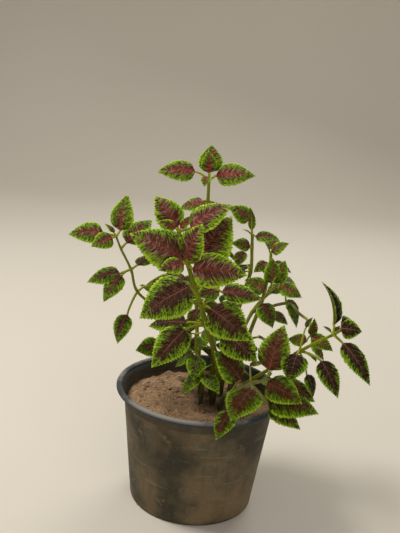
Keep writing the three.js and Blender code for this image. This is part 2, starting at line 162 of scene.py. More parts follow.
SHOOTS = [
  shoot("front_shoot", look(0.33, 0.9, 0.6, 0.3),
    stem(3.3, 1.6,
      node(12, -4, 76),
      node(13, -8, 108),
      node(15, -27, 143,
        leaf(35, 15, 11, 15, -30, 24)),
      node(0, -55, 192,
        leaf(-25, -5, 17, -25, -30, 37, 45, 0.8),
        leaf(-145, 0, 22, -145, -45, 42, -40, 0.66),
        leaf(165, 0, 18, 170, -15, 34, -30),
        leaf(80, 15, 12, 80, -40, 30)),
      node(-6, -66, 213,
        leaf(-120, 45, 31, -165, -35, 47, -45, 0.82),
        leaf(-55, 10, 13, -20, -30, 41, 45, 0.85),
        leaf(80, 10, 12, 80, -40, 32)),
      node(-13, -77, 233,
        leaf(15, -10, 24, 10, -10, 34, 42, 0.6),
        leaf(135, 10, 10, 170, -15, 36, -30, 0.6)),
      node(-20, -88, 255,
        leaf(-145, 40, 5, 180, 21, 47, -52, 0.74),
        leaf(-60, -15, 9, -5, 0, 43, 56, 0.7),
        leaf(20, 5, 8, 30, 52, 46, 30, 0.9),
        leaf(-98, 35, 9, -20, 70, 32, 75, 0.8),
        leaf(-105, 10, 11, -150, -10, 22, -45, 0.7)),
      node(-29, -90, 280,
        leaf(120, 60, 4, 160, 45, 30, -55, 0.78),
        leaf(40, 10, 12, 20, 30, 38, 30),
        leaf(-115, 35, 7, -160, 20, 15, -65, 0.6),
        leaf(-65, 50, 5, 0, 50, 14, 60, 0.55)))),
  shoot("left_shoot", look(0.56, 0.8, 0.5, 0.4, 0, 0.7),
    stem(2.5, 1.1,
      node(1, 4, 76),
      node(0, 7, 108),
      node(-2, 10, 123),
      node(-16, 12, 147,
        leaf(150, 0, 9, 160, -35, 24)),
      node(-43, 8, 179,
        leaf(-75, -70, 31, -165, -12, 23, -45, 0.9),
        leaf(75, 20, 12, 75, -40, 26)),
      node(-65, 4, 198,
        leaf(-130, -60, 23, -130, -70, 28, 0, 0.8),
        leaf(60, 15, 12, 60, -40, 28)),
      node(-72, 2, 219,
        leaf(-150, -15, 11, -175, -20, 31, -30),
        leaf(-120, -10, 14, -145, -55, 29, -20),
        leaf(60, 15, 10, 45, 10, 28)),
      node(-82, 0, 238,
        leaf(65, 25, 10, 40, 35, 33, 20, 0.8)),
      node(-87, 0, 249,
        leaf(-170, 14, 12, -175, -7, 31, -45, 0.72),
        leaf(55, 45, 7, 60, 75, 33, 0, 0.8),
        leaf(-105, 5, 9, -150, -20, 21, -45, 0.85),
        leaf(180, 60, 4, 155, 30, 12)))),
  shoot("top_shoot", look(0.42, 0.65, 0.8, 0.6),
    stem(2.7, 1.4,
      node(11, 11, 76),
      node(11, 12, 108),
      node(10, 14, 144,
        leaf(170, 25, 10, 150, -15, 24, -40)),
      node(4, 18, 192,
        leaf(-65, 55, 15, -150, -10, 22, -45, 0.85),
        leaf(-150, -30, 16, -120, -50, 20, 0, 0.8),
        leaf(100, 20, 8, 100, 20, 22)),
      node(-3, 20, 239,
        leaf(150, 0, 10, 160, -40, 30),
        leaf(35, 20, 9, 40, -35, 28)),
      node(-6, 20, 262,
        leaf(-90, 8, 9, -92, -30, 24),
        leaf(85, 10, 9, 85, -30, 26)),
      node(-8, 20, 283,
        leaf(145, -10, 4, 175, -20, 24, -35),
        leaf(25, -10, 5, 25, -20, 22),
        leaf(95, 0, 10, 95, -45, 30)),
      node(-9, 18, 304,
        leaf(-170, 28, 15, -175, -5, 34, -48, 0.68),
        leaf(-30, 38, 9, -5, 5, 35, 50, 0.7),
        leaf(90, 35, 10, 90, 60, 27, 0, 0.85),
        leaf(-105, 65, 8, 180, 85, 20, -80, 0.75),
        leaf(-100, 25, 11, -100, -30, 14)))),
  shoot("back_shoot", look(0.52, 0.6, 0.4, 0.4),
    stem(2.6, 1.3,
      node(20, 12, 76),
      node(21, 14, 108),
      node(24, 22, 142,
        leaf(95, 15, 11, 90, -45, 30)),
      node(32, 30, 191,
        leaf(130, 15, 12, 125, -40, 26)),
      node(38, 34, 218,
        leaf(110, 20, 11, 120, -40, 30),
        leaf(-150, 10, 6, -170, -20, 18, -40)),
      node(37, 36, 241,
        leaf(-120, 30, 5, -170, 5, 18, -50, 0.8),
        leaf(-130, -6, 14, -110, -48, 18)),
      node(36, 36, 254,
        leaf(155, 75, 14, 175, 25, 23, -50, 0.85),
        leaf(-120, 60, 5, 180, 80, 22, 60, 0.4),
        leaf(-135, 25, 3, 180, 20, 8, 0),
        leaf(-35, -20, 4, -10, 0, 22, 30)))),
  shoot("right_shoot", look(0.64, 0.55, 0.5, 0.4, 0.3),
    stem(2.7, 1.3,
      node(27, 3, 76),
      node(28, 2, 108),
      node(31, -2, 157,
        leaf(60, 10, 10, 50, -40, 28)),
      node(41, -4, 191,
        leaf(-40, 50, 14, -30, -55, 24, 20, 0.95),
        leaf(25, -5, 21, -15, -30, 18, 30)),
      node(54, -6, 212,
        leaf(-35, 40, 13, -15, -20, 22, 35, 0.8),
        leaf(-135, 25, 6, 170, 20, 21, -45, 0.9),
        leaf(70, 45, 9, 105, 70, 24, 0),
        leaf(55, 35, 12, 55, 55, 23, 20),
        leaf(55, 20, 19, 25, -5, 15, 20),
        leaf(-80, 40, 5, 0, 75, 14, 0))),
    stem(1.6, 1.4,
      node(41, -4, 191),
      node(71, 0, 201,
        leaf(0, 65, 4.5, -35, -65, 27, 0, 0.72),
        leaf(100, 50, 8, 80, 30, 24)),
      node(81, -15, 198),
      node(90, -30, 195),
      node(91, -45, 188,
        leaf(-115, 30, 4, 60, 75, 15, 40, 0.6, 0.7),
        leaf(-100, 20, 5, -20, -25, 22, 50, 0.62),
        leaf(-85, -60, 6, -10, -50, 19, 20),
        leaf(90, -30, 29, 145, -10, 19, -45)))),
  shoot("far_shoot", look(0.52, 0.6, 0.4, 0.4),
    stem(2.5, 1.3,
      node(31, 13, 76),
      node(33, 16, 108),
      node(42, 32, 151,
        leaf(20, 10, 12, 20, -45, 30),
        leaf(110, 10, 12, 105, -45, 32)),
      node(53, 45, 188,
        leaf(45, 25, 12, 40, 15, 28),
        leaf(140, 15, 12, 140, -40, 30)),
      node(57, 52, 218,
        leaf(-145, 60, 7, -170, -40, 16, -30, 0.9),
        leaf(25, 50, 8, 5, -30, 20, 20),
        leaf(95, 20, 10, 90, -40, 30)),
      node(57, 54, 232,
        leaf(-75, 50, 3, -10, 35, 19, 35, 0.85),
        leaf(-125, 45, 3, -165, 55, 14, -20),
        leaf(80, 40, 6, 80, 30, 20)))),
  shoot("trailing_shoot", look(0.31, 0.4, 0.2, 0.15),
    stem(2.5, 1.1,
      node(28, -10, 76),
      node(31, -14, 108),
      node(41, -30, 132,
        leaf(0, 20, 12, -5, -10, 28)),
      node(60, -50, 158),
      node(79, -68, 182,
        leaf(-35, -5, 21, -45, -50, 33, 30, 0.55),
        leaf(-105, 10, 13, -110, -50, 25, 0, 0.92),
        leaf(75, -20, 20, 35, -35, 22),
        leaf(-15, -65, 21, -40, -65, 20, 0, 0.8),
        leaf(65, 65, 21, 25, 55, 10)),
      node(92, -78, 196),
      node(102, -86, 206,
        leaf(95, 75, 8, 135, 60, 36, 20, 0.54, 0.8),
        leaf(-55, -15, 12, -35, -45, 39, 30, 0.48)),
      node(107, -90, 212,
        leaf(100, 70, 6.5, 30, -25, 20, 35, 0.8),
        leaf(-110, 35, 5, 0, -5, 17, 60, 0.98)))),
  shoot("low_shoot", look(0.42, 0.6, 0.35, 0.9, 0.8),
    stem(2.5, 1.3,
      node(19, -14, 76),
      node(21, -18, 108),
      node(28, -40, 127,
        leaf(-90, -5, 32, -130, -50, 28, 0, 0.75),
        leaf(-70, 50, 25, 165, 40, 34, -30, 0.85)),
      node(42, -62, 146,
        leaf(-90, 10, 18, -125, -35, 34, 0, 0.98),
        leaf(-25, -40, 25, -20, -25, 32, 20),
        leaf(100, 55, 16, 15, 10, 14)),
      node(53, -75, 157,
        leaf(-75, -5, 5, -30, -15, 34, 45, 0.75),
        leaf(-15, -75, 18, -15, -5, 43, 30),
        leaf(15, -15, 18, -5, -25, 30, 30)),
      node(55, -78, 164,
        leaf(90, 40, 3, 55, 65, 40, 10),
        leaf(-125, -55, 4, -25, 60, 10)))),
  shoot("inner_shoot", look(0.85, 0.8, 0.2, 0.3),
    stem(2.2, 1.2,
      node(2, -7, 76),
      node(2, -8, 108),
      node(2, -9, 130,
        leaf(-120, 10, 7, -140, -45, 25),
        leaf(-105, 10, 17, -25, 50, 19, 0, 0.45),
        leaf(-88, 15, 17, -48, -24, 24, 12, 0.68)),
      node(-6, -11, 150,
        leaf(130, -20, 6, 155, -50, 25, -30, 0.8),
        leaf(-80, -10, 7, -98, -58, 22, 0, 0.85),
        leaf(75, 30, 6, 45, 25, 16)),
      node(-8, -10, 167,
        leaf(-150, 20, 5, -170, -25, 20, -45, 0.85),
        leaf(-20, 30, 6, -20, -10, 20, 40, 0.8)))),
  shoot("rear_shoot", look(0.6, 0.5, 0.3, 0.4),
    stem(2.5, 1.3,
      node(2, 15, 76),
      node(1, 18, 108),
      node(-4, 36, 132,
        leaf(170, 10, 10, 170, -40, 28),
        leaf(60, 15, 10, 60, -45, 28)),
      node(-8, 50, 154,
        leaf(100, 10, 12, 100, -45, 34),
        leaf(-20, 35, 8, -10, 15, 26)),
      node(-10, 58, 172,
        leaf(170, 30, 10, 170, -35, 32),
        leaf(20, 30, 10, 20, -35, 32)),
      node(-13, 64, 195,
        leaf(100, 10, 11, 100, -40, 32),
        leaf(-90, 10, 8, -100, -40, 24, 0, 0.8),
        leaf(-30, 0, 12, -40, -25, 20, 30, 0.85)),
      node(-15, 67, 213,
        leaf(180, 20, 9, 180, -20, 28, -20),
        leaf(0, 20, 9, 0, -20, 28, 20),
        leaf(90, 35, 7, 90, 10, 22)))),
]


# ---- mesh helpers ----
class Shape:
    """Vertices in millimetres, faces and per-vertex values, gathered for one piece."""

    def __init__(self, *values):
        self.vertices = []
        self.faces = []
        self.values = {name: [] for name in values}

    def add(self, vertices, faces, **values):
        """Values are one triple for all the vertices, or a list with one for each."""
        first = len(self.vertices)
        self.vertices.extend(tuple(each) for each in vertices)
        self.faces.extend(tuple(first + i for i in face) for face in faces)
        for name, each in values.items():
            self.values[name].extend(each if isinstance(each, list) else [each] * len(vertices))

    def make(self, name, material):
        mesh = bpy.data.meshes.new(name)
        mesh.from_pydata((np.array(self.vertices) * MM).tolist(), [], self.faces)
        for value, numbers in self.values.items():
            layer = mesh.attributes.new(value, "FLOAT_VECTOR", "POINT")
            layer.data.foreach_set("vector", np.array(numbers, dtype=np.float32).ravel())
        mesh.shade_smooth()
        mesh.materials.append(material)
        piece = bpy.data.objects.new(name, mesh)
        bpy.context.collection.objects.link(piece)
        return piece


def sharpen(mesh, angle):
    """Edges that bend more than the angle are shaded as edges."""
    work = bmesh.new()
    work.from_mesh(mesh)
    for edge in work.edges:
        if len(edge.link_faces) == 2:
            edge.smooth = edge.calc_face_angle() < math.radians(angle)
    work.to_mesh(mesh)
    work.free()


def direction(turn, rise):
    turn, rise = math.radians(turn), math.radians(rise)
    level = math.cos(rise)
    return Vector((level * math.cos(turn), level * math.sin(turn), math.sin(rise)))


def tube(points, radii, sides, ribs=0.0):
    """Vertices and faces of a closed tube; ribs above 0 gives it four ribs along its length."""
    vertices = []
    faces = []
    across = Vector((1, 0, 0))
    last = len(points) - 1
    for i, point in enumerate(points):
        along = (points[min(i + 1, last)] - points[max(i - 1, 0)]).normalized()
        if i == 0 and abs(along.x) > 0.8:
            across = Vector((0, 0, 1))
        across = (across - along * across.dot(along)).normalized()
        third = along.cross(across)
        for k in range(sides):
            angle = 2 * math.pi * k / sides
            radius = radii[i] * (1 + ribs * math.cos(4 * angle))
            vertices.append(point + radius * (math.cos(angle) * across + math.sin(angle) * third))
    for i in range(last):
        for k in range(sides):
            a, b = i * sides + k, i * sides + (k + 1) % sides
            faces.append((a, b, b + sides, a + sides))
    faces.append(tuple(range(sides - 1, -1, -1)))
    faces.append(tuple(range(last * sides, (last + 1) * sides)))
    return vertices, faces


# ---- leaves ----
def blade_frame(start_from, row):
    """Start of the blade and its directions: along, to its left side and up from its face."""
    start = start_from + row.stalk * direction(row.stalk_turn, row.stalk_rise)
    along = direction(row.turn, row.rise)
    turn, bank = math.radians(row.turn), math.radians(row.bank)
    level_side = Vector((-math.sin(turn), math.cos(turn), 0))
    level_up = along.cross(level_side)
    side = level_side * math.cos(bank) + level_up * math.sin(bank)
    up = level_up * math.cos(bank) - level_side * math.sin(bank)
    return start, along, side, up


def half_width(row, t):
    swell = np.clip(np.sin(np.pi * np.clip(t, 0, 1) ** BLADE_BASE_BREADTH), 0, 1)
    return 0.5 * row.wide * row.length * swell ** (BLADE_FULLNESS + BLADE_TAPER * t)


def midrib_rise(row, t):
    return 4 * BLADE_ARCH * row.length * t * (1 - t)


def blade_relief(row, vein, out, half, teeth, pairs, chance):
    """Height over the arched midrib: fold, cup, quilting between the side veins and ruffles."""
    quilt = QUILT_HEIGHT * row.length * np.abs(np.sin(np.pi * pairs * vein)) ** 0.8
    quilt = quilt * np.sqrt(out) * (1 - out ** 3) * np.clip(4 * (1 - vein), 0, 1)
    waves = np.sin(np.pi * teeth * 0.9 * vein + 6.3 * chance)
    ruffle = RUFFLE_HEIGHT * row.length * out ** 3 * waves * (1 - vein)
    return half * (row.fold * out - BLADE_CUP * out ** 2) + quilt + ruffle


def blade_surface(row, chance):
    """Grids of t along, x across and z up, with each vertex's place on the leaf: its vein from 0
    to 1 along the midrib, v from -1 to 1 across, and millimetres from the midrib."""
    teeth = round(5 + row.length / 5)
    pairs = round(4 + row.length / 14)
    across = np.linspace(-1, 1, BLADE_COLUMNS)
    across = np.sign(across) * np.abs(across) ** COLUMN_CROWDING
    vein, v = np.meshgrid(np.linspace(0, 1, teeth * TOOTH_ROWS + 1), across, indexing="ij")
    along, out = vein[:, :1], np.abs(v)
    sweep = VEIN_SWEEP * (1 - np.exp(-along / 0.07)) * (1 - along)
    least = BLADE_ROOT * (1 - along) + BLADE_TIP * along
    half = np.maximum(half_width(row, along + sweep), least)
    crown = np.sin(np.pi * ((teeth * along) % 1) ** 1.25) ** 0.6
    edge = out ** 8
    depth = np.minimum(TOOTH_DEPTH * row.length / teeth, TOOTH_DEPTH_LIMIT * half)
    x = v * half - np.sign(v) * depth * (1 - crown) * edge
    t = vein + sweep * out + TOOTH_LEAN / teeth * crown * edge * (1 - vein)
    z = midrib_rise(row, t) + blade_relief(row, vein, out, half, teeth, pairs, chance)
    return t, x, z, vein, v, half * out, pairs


def blade_faces(rows, columns):
    """Faces of a thin closed blade: its upper grid, its under grid and the strip round them."""
    count = rows * columns
    faces = []
    for i in range(rows - 1):
        for j in range(columns - 1):
            a = i * columns + j
            b = a + columns
            faces.append((a, b, b + 1, a + 1))
            faces.append((count + a, count + a + 1, count + b + 1, count + b))
        left, right = i * columns + columns - 1, i * columns
        faces.append((left, left + columns, count + left + columns, count + left))
        faces.append((right, count + right, count + right + columns, right + columns))
    for j in range(columns - 1):
        faces.append((j, j + 1, count + j + 1, count + j))
        tip = (rows - 1) * columns + j
        faces.append((tip, count + tip, count + tip + 1, tip + 1))
    return faces


def leaf_colours(row, dress, youth, draw):
    """Green, lime and pink of one leaf, and its red; young leaves are brighter."""
    green = dress.green + 0.1 * (draw.random() - 0.5) + 0.2 * (1 - youth)
    green += 0.25 * youth ** 6 * (1 - row.length / 60)
    lime = dress.lime * (0.45 + 0.55 * youth)
    pink = dress.pink * (0.1 + 0.9 * youth ** 1.5)
    red = dress.red + 0.2 * (draw.random() - 0.5)
    return (green, lime, pink), red


def add_blade(shape, start_from, row, dress, youth, draw):
    start, along, side, up = (np.array(each) for each in blade_frame(start_from, row))
    chance = draw.random()
    t, x, z, vein, v, from_midrib, pairs = blade_surface(row, chance)
    middle = start + row.length * t[..., None] * along + x[..., None] * side + z[..., None] * up
    thinning = 1 - BLADE_EDGE_THINNING * np.abs(v) ** 4
    thick = BLADE_HALF_THICKNESS * thinning[..., None] * up
    sides = np.concatenate([(middle + thick).reshape(-1, 3), (middle - thick).reshape(-1, 3)])
    place = np.stack([vein, v, from_midrib], -1).reshape(-1, 3).tolist()
    colours, red = leaf_colours(row, dress, youth, draw)
    shape.add(
        sides.tolist(), blade_faces(*t.shape),
        place=place + place,
        size=[(row.length, pairs, is_top) for is_top in (1, 0) for _ in place],
        colours=colours,
        tint=(chance, red, 0),
    )


def stalk_line(start_from, row):
    """Points and radii of the stalk, running on under the blade as its midrib."""
    start, along, _, up = blade_frame(start_from, row)
    rise = STALK_BOW * row.stalk if row.stalk > LONG_STALK else 0
    bow = start_from.lerp(start, 0.5) + Vector((0, 0, rise))
    control = 2 * bow - 0.5 * (start_from + start)
    thick = min(SMALL_STALK_RADIUS, TINY_STALK_SHARE * row.length)
    if row.length >= FULL_SIZE:
        thick = STALK_RADIUS
    points, radii = [], []
    for k in range(STALK_STEPS):
        u = k / STALK_STEPS
        points.append((1 - u) ** 2 * start_from + 2 * u * (1 - u) * control + u * u * start)
        radii.append(thick * (STALK_FOOT * (1 - u) + STALK_END * u))
    for k in range(MIDRIB_STEPS + 1):
        t = MIDRIB_REACH * k / MIDRIB_STEPS
        radii.append(max(STALK_END * thick * (1 - t / 0.95) ** 1.2, MIDRIB_END_RADIUS))
        height = midrib_rise(row, t) - 0.8 * radii[-1]
        points.append(start + row.length * t * along + height * up)
    return points, radii


def add_stalk(shape, start_from, row, youth, woody):
    vertices, faces = tube(*stalk_line(start_from, row), STALK_SIDES)
    shape.add(vertices, faces, kind=(youth, 1, 0), wood=(woody, 0, 0))


def axil_leaves(row, draw):
    """A pair of small leaves above a leaf's stalk."""
    pair = []
    for side in (-1, 1):
        turn = row.stalk_turn + side * draw.uniform(30, 60)
        rise = draw.uniform(35, 65)
        stalk = draw.uniform(2.5, 4)
        length = draw.uniform(5, 8)
        pair.append(leaf(turn, rise, stalk, turn, rise - 20, length))
    return pair


# ---- stems ----
def stem_line(places, steps):
    """A smooth line through the places of a stem's nodes."""
    points = []
    for i in range(len(places) - 1):
        a, b = places[max(i - 1, 0)], places[i]
        c, d = places[i + 1], places[min(i + 2, len(places) - 1)]
        for k in range(steps):
            u = k / steps
            points.append(0.5 * (2 * b + (c - a) * u + (2 * a - 5 * b + 4 * c - d) * u * u
                                 + (3 * b - a - 3 * c + d) * u ** 3))
    points.append(places[-1].copy())
    return points


def add_hair(shape, start, along, radius, draw):
    """A slim spike that stands out from a stem and is rooted inside it."""
    across = along.orthogonal().normalized()
    across.rotate(Quaternion(along, draw.uniform(0, 2 * math.pi)))
    third = along.cross(across).normalized()
    ahead = along.normalized()
    root = start + draw.random() * along + HAIR_ROOT * radius * across
    reach = (1 - HAIR_ROOT) * radius + draw.uniform(*HAIR_LENGTHS)
    vertices = [root + reach * (across + 0.3 * draw.random() * third)]
    for k in range(3):
        angle = 2 * math.pi * k / 3
        vertices.append(root + HAIR_RADIUS * (math.cos(angle) * third + math.sin(angle) * ahead))
    faces = [(0, 2, 1), (0, 3, 2), (0, 1, 3), (1, 2, 3)]
    shape.add(vertices, faces, kind=(1, 1, 0), wood=(0, 1, 0))


def add_stem(shape, branch, dress, draw):
    """A ribbed stem that swells at its nodes from the third on, with its hairs."""
    places = [each.at for each in branch.nodes]
    points = stem_line(places, STEM_STEPS)
    last = len(points) - 1
    radii = []
    for i, point in enumerate(points):
        near = min((point - place).length for place in places[2:] or places)
        swell = 1 + NODE_SWELL * math.exp(-(near / NODE_SWELL_REACH) ** 2)
        taper = branch.root_radius + (branch.tip_radius - branch.root_radius) * (i / last)
        radii.append(dress.slim * swell * taper)
    vertices, faces = tube(points, radii, STEM_SIDES, ribs=STEM_RIBS)
    kind = [(i / last, 0, k / STEM_SIDES) for i in range(last + 1) for k in range(STEM_SIDES)]
    shape.add(vertices, faces, kind=kind, wood=(dress.woody, 0, 0))
    for i in range(last):
        along = points[i + 1] - points[i]
        for _ in range(int(along.length / HAIR_SPACING)):
            add_hair(shape, points[i], along, radii[i], draw)


def make_shoot(each, leaf_skin, stem_skin):
    draw, small_draw = random.Random(each.name), random.Random(each.name + "_small")
    blades = Shape("place", "size", "colours", "tint")
    stalks = Shape("kind", "wood")
    for branch in each.stems:
        add_stem(stalks, branch, each.dress, small_draw)
        last = len(branch.nodes) - 1
        for i, joint in enumerate(branch.nodes):
            youth = i / last
            for row in joint.leaves:
                add_stalk(stalks, joint.at, row, youth, each.dress.woody)
                add_blade(blades, joint.at, row, each.dress, youth, draw)
            large = [row for row in joint.leaves if i < last and row.length >= AXIL_LEAF_FROM]
            for row in large:
                for small in axil_leaves(row, small_draw):
                    add_stalk(stalks, joint.at, small, 1, 0)
                    add_blade(blades, joint.at, small, each.dress, 1, small_draw)
    for piece in (blades.make(each.name + "_leaves", leaf_skin),
                  stalks.make(each.name + "_stems", stem_skin)):
        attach(piece, "root")
        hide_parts(each.name)


# ---- pot ----
def body_radius(z):
    return BODY_FOOT_RADIUS + (BODY_TOP_RADIUS - BODY_FOOT_RADIUS) * z / LEDGE_HEIGHT


def inside_radius(z):
    return body_radius(z) - WALL


def rim_bead():
    """The rolled rim's round section, from under its outer lip over the top and inwards."""
    bead = []
    for k in range(BEAD_STEPS + 1):
        angle = math.radians(-110 + 300 * k / BEAD_STEPS)
        bead.append((RIM_RADIUS - RIM_BEAD + RIM_BEAD * math.cos(angle),
                     POT_HEIGHT - RIM_BEAD + RIM_BEAD * math.sin(angle)))
    return bead


def pot_profile():
    """Outline of the wall, (radius, height), from the axis under the floor to the axis over it."""
    outside = [(body_radius(z), z) for z in np.linspace(3, LEDGE_HEIGHT, 26)]
    inside = [(inside_radius(z), z) for z in np.linspace(LEDGE_HEIGHT - 2, FLOOR_TOP + 2, 6)]
    foot = [
        (0, 0), (CENTRE_PAD_RADIUS - 1, 0), (CENTRE_PAD_RADIUS, 0.3),
        (CENTRE_PAD_RADIUS + 1, FLOOR_UNDERSIDE), (FOOT_RING_INSIDE, FLOOR_UNDERSIDE),
        (FOOT_RING_INSIDE + 1, 0.2), (FOOT_RING_INSIDE + 1.6, 0), (BODY_FOOT_RADIUS - 2, 0),
        (BODY_FOOT_RADIUS - 0.8, 0.3), (BODY_FOOT_RADIUS - 0.1, 1.2),
    ]
    ledge = [
        (BODY_TOP_RADIUS + 0.7, LEDGE_HEIGHT + 0.3), (BODY_TOP_RADIUS + 1, LEDGE_HEIGHT + 1),
        (BODY_TOP_RADIUS + 1.3, LEDGE_HEIGHT + 4), (BODY_TOP_RADIUS + 1.6, POT_HEIGHT - 7.8),
        (BODY_TOP_RADIUS + 2.2, POT_HEIGHT - 6.6), (BODY_TOP_RADIUS + 3.4, POT_HEIGHT - 5.9),
    ]
    under_bead = [
        (BODY_TOP_RADIUS + 1.3, POT_HEIGHT - 4.2), (BODY_TOP_RADIUS + 0.2, POT_HEIGHT - 7),
        (BODY_TOP_RADIUS - 0.8, LEDGE_HEIGHT + 2),
    ]
    floor = [(inside_radius(FLOOR_TOP) - 2, FLOOR_TOP), (0, FLOOR_TOP)]
    return [*foot, *outside, *ledge, *rim_bead(), *under_bead, *inside, *floor]


def circle(radius, segments):
    """Points (x, y) round the axis."""
    turns = [2 * math.pi * k / segments for k in range(segments)]
    return [(radius * math.cos(turn), radius * math.sin(turn)) for turn in turns]


def lathe(shape, profile):
    """Turns an outline that starts and ends on the axis into a closed skin."""
    middle = profile[1:-1]
    vertices = [(0, 0, profile[0][1]), (0, 0, profile[-1][1])]
    for radius, z in middle:
        vertices.extend((x, y, z) for x, y in circle(radius, LATHE_SEGMENTS))
    faces = []
    top = 2 + (len(middle) - 1) * LATHE_SEGMENTS
    for k in range(LATHE_SEGMENTS):
        k2 = (k + 1) % LATHE_SEGMENTS
        faces.append((0, 2 + k2, 2 + k))
        faces.append((1, top + k, top + k2))
        for i in range(len(middle) - 1):
            a = 2 + i * LATHE_SEGMENTS
            b = a + LATHE_SEGMENTS
            faces.append((a + k, a + k2, b + k2, b + k))
    shape.add(vertices, faces)


def drill_drains(pot):
    drills = Shape()
    for i in range(DRAIN_COUNT):
        turn = math.radians(FIRST_DRAIN_TURN + 360 * i / DRAIN_COUNT)
        centre = Vector((DRAIN_CIRCLE * math.cos(turn), DRAIN_CIRCLE * math.sin(turn), 0))
        ends = [centre + Vector((0, 0, z)) for z in (-3, 9)]
        drills.add(*tube(ends, [DRAIN_RADIUS] * 2, 24))
    cutter = drills.make("drills", None)
    cut = pot.modifiers.new("drains", "BOOLEAN")
    cut.operation = "DIFFERENCE"
    cut.solver = "EXACT"
    cut.object = cutter
    bpy.context.view_layer.objects.active = pot
    bpy.ops.object.modifier_apply(modifier=cut.name)
    bpy.data.objects.remove(cutter)


def make_pot(material):
    shape = Shape()
    lathe(shape, pot_profile())
    pot = shape.make("nursery_pot", material)
    drill_drains(pot)
    sharpen(pot.data, SHARP_EDGE_ANGLE)
    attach(pot, "root")
    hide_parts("pot")


# ---- soil ----
def soil_hump(x, y):
    """Broad waves, up to 1.5 mm high."""
    return (0.9 * math.sin(0.11 * x + 0.7) * math.cos(0.09 * y - 0.4)
            + 0.6 * math.sin(0.21 * y + 0.13 * x))


def soil_height(x, y):
    """Humps, lumps about 9 mm across and grains about 2 mm across."""
    lumps = noise.fractal(Vector((x, y, 3)) / 9, 1.0, 2.0, 3)
    grains = noise.noise(Vector((x, y, 11)) / 2.2)
    edge = max(0, math.hypot(x, y) - 58) / 9
    return SOIL_LEVEL + soil_hump(x, y) + 1.5 * lumps + 0.45 * grains - 0.6 * edge


def add_crumb(shape, centre, radius, draw):
    ball = bmesh.new()
    bmesh.ops.create_icosphere(ball, subdivisions=2, radius=1)
    squash = Vector((draw.uniform(0.8, 1.3), draw.uniform(0.8, 1.3), draw.uniform(0.6, 0.9)))
    seed = Vector((draw.uniform(0, 50), draw.uniform(0, 50), 0))
    vertices = []
    for vertex in ball.verts:
        rough = 1 + 0.35 * noise.noise(vertex.co * 1.6 + seed)
        vertices.append(centre + radius * rough * vertex.co * squash)
    faces = [tuple(v.index for v in face.verts) for face in ball.faces]
    ball.free()
    shape.add(vertices, faces)


def add_soil_body(shape):
    """The soil's surface, with its side and bottom inside the pot."""
    edge = inside_radius(LEDGE_HEIGHT) - GAP
    vertices = [(0, 0, soil_height(0, 0))]
    for k in range(1, SOIL_RINGS + 1):
        ring = circle(edge * (k / SOIL_RINGS), SOIL_SEGMENTS)
        vertices.extend((x, y, soil_height(x, y)) for x, y in ring)
    for radius, z in ((inside_radius(SOIL_WAIST), SOIL_WAIST),
                      (inside_radius(FLOOR_TOP) - 2, FLOOR_TOP + GAP)):
        vertices.extend((x, y, z) for x, y in circle(radius - GAP, SOIL_SEGMENTS))
    bottom = len(vertices)
    vertices.append((0, 0, FLOOR_TOP + GAP))
    faces = []
    for k in range(SOIL_SEGMENTS):
        k2 = (k + 1) % SOIL_SEGMENTS
        faces.append((0, 1 + k, 1 + k2))
        for i in range(SOIL_RINGS + 1):
            a, b = 1 + i * SOIL_SEGMENTS, 1 + (i + 1) * SOIL_SEGMENTS
            faces.append((a + k, b + k, b + k2, a + k2))
        faces.append((bottom, bottom - SOIL_SEGMENTS + k2, bottom - SOIL_SEGMENTS + k))
    shape.add(vertices, faces)


def make_soil(material):
    """Soil with loose crumbs on it, most of them small."""
    shape = Shape()
    add_soil_body(shape)
    draw = random.Random(5)
    for _ in range(CRUMB_COUNT):
        radius, turn = CRUMB_SPREAD * math.sqrt(draw.random()), draw.uniform(0, 2 * math.pi)
        x, y = radius * math.cos(turn), radius * math.sin(turn)
        size = 0.45 + 1.5 * draw.random() ** 3
        add_crumb(shape, Vector((x, y, soil_height(x, y) + 0.1 * size)), size, draw)
    soil = shape.make("potting_soil", material)
    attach(soil, "root")
    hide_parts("soil")


